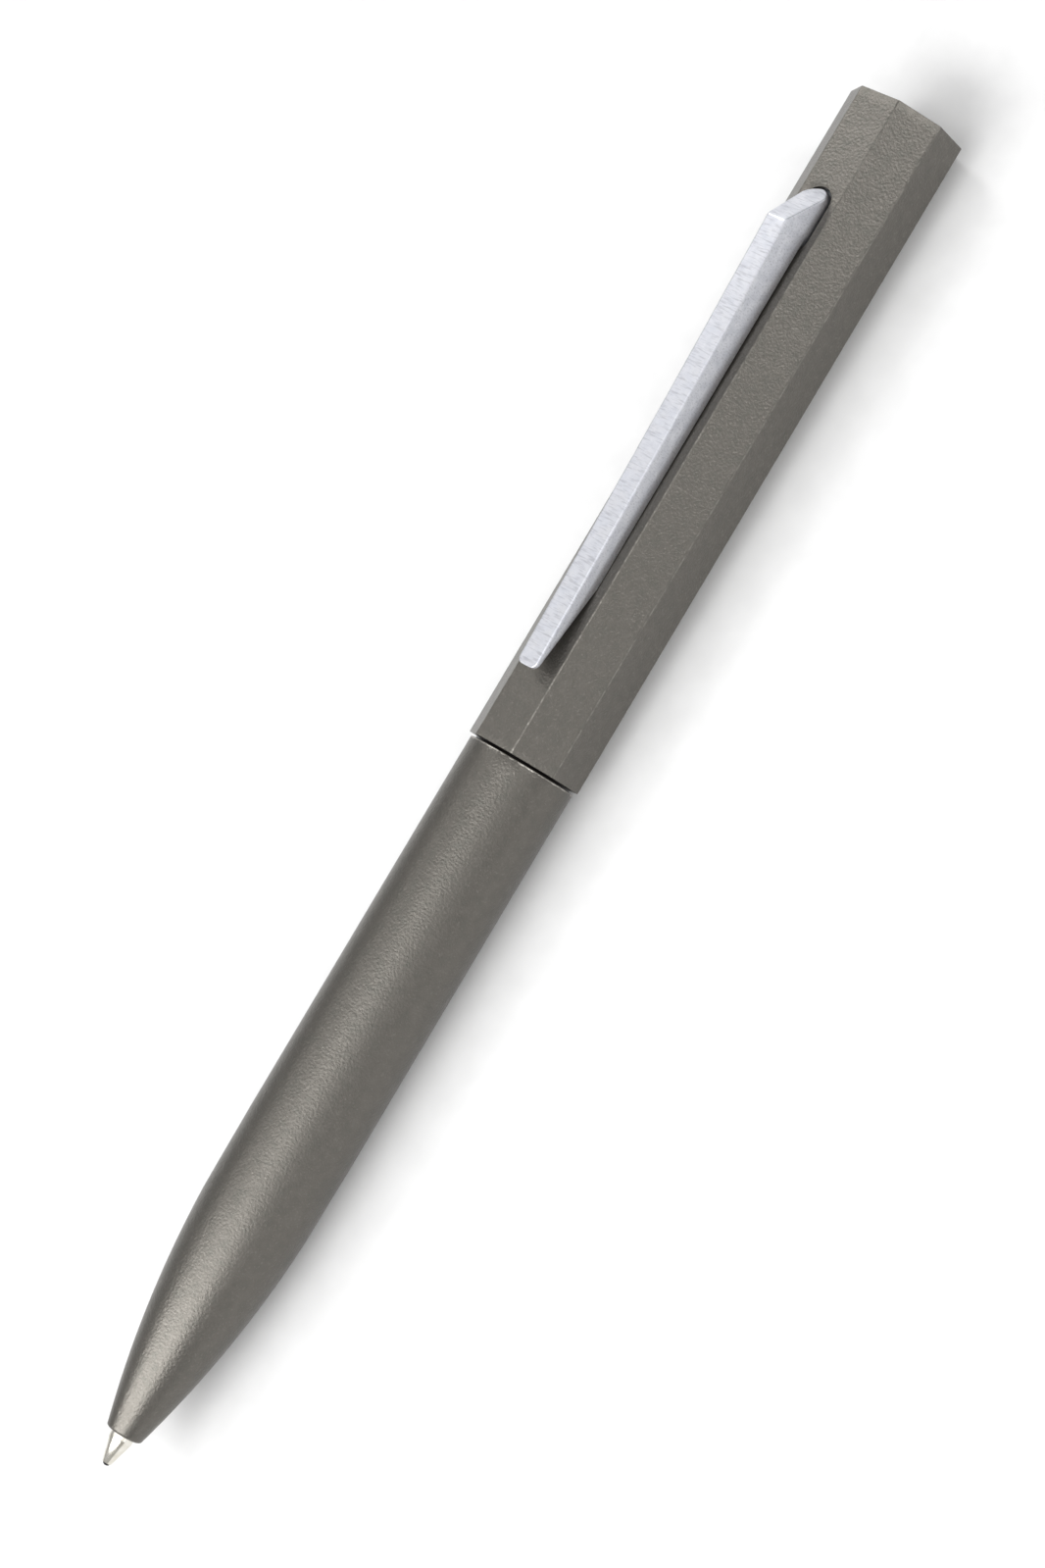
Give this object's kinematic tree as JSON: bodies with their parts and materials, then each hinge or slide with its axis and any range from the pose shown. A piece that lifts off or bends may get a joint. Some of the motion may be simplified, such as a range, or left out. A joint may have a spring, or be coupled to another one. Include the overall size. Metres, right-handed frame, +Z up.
{
  "type": "twist ballpoint pen",
  "caption": "Twist-action ballpoint pen: octagonal upper barrel with a sprung wedge clip, round tapered lower barrel, twist mechanism and replaceable refill.",
  "frame": {"origin": "middle of the pen's length, on the surface that its flat rests on", "axes": "+X along the pen from the writing ball to the top end, +Z up through the clip"},
  "size_m": [0.139, 0.0106, 0.0144],
  "materials": {
    "grey_paint": "matte",
    "satin_silver": "satin",
    "brass": "satin",
    "polished_point": "polished",
    "ball_carbide": "polished",
    "spring_steel": "satin",
    "tube_steel": "polished",
    "white_acetal": "satin",
    "black_plastic": "satin",
    "rubber_ring": "matte",
    "ink": "gloss"
  },
  "bodies": {
    "upper": {"upper_barrel": "grey_paint", "drive_tube": "brass", "spiral_cam": "white_acetal", "clip_carrier": "black_plastic", "hinge_pin": "spring_steel", "clip_spring": "spring_steel", "end_plug": "grey_paint"},
    "lower": {"lower_barrel": "grey_paint", "thread_bush": "brass", "mechanism_tube": "brass", "drag_ring": "rubber_ring", "cam_washer": "spring_steel", "snap_ring": "spring_steel", "return_spring": "spring_steel"},
    "refill": {"plunger": "white_acetal", "refill_tube": "tube_steel", "refill_crown": "black_plastic", "refill_neck": "black_plastic", "ink_column": "ink", "writing_point": "polished_point"},
    "ball": {"writing_ball": "ball_carbide"},
    "clip": {"clip": "satin_silver"}
  },
  "joints": [
    {"name": "twist", "type": "hinge", "parent": "upper", "child": "lower", "pos_m": [0.0025, 0, 0.0053], "axis": [-1, 0, 0], "range_deg": [0, 180]},
    {"name": "refill_slide", "type": "slide", "parent": "lower", "child": "refill", "axis": [1, 0, 0], "range_m": [0, 0.0055], "deforming": ["return_spring"]},
    {"name": "ball_roll", "type": "hinge", "parent": "refill", "child": "ball", "pos_m": [-0.0691, 0, 0.0053], "axis": [0, 1, 0], "continuous": true},
    {"name": "clip_lift", "type": "hinge", "parent": "upper", "child": "clip", "pos_m": [0.0565, 0, 0.0079], "axis": [0, 1, 0], "range_deg": [0, 4], "stiffness_Nm_per_rad": 1.1, "springref_deg": -5.16, "deforming": ["clip_spring"]}
  ],
  "couplings": [
    {"joint": "twist", "follows": "refill_slide", "rad_per_m": 571.2}
  ]
}
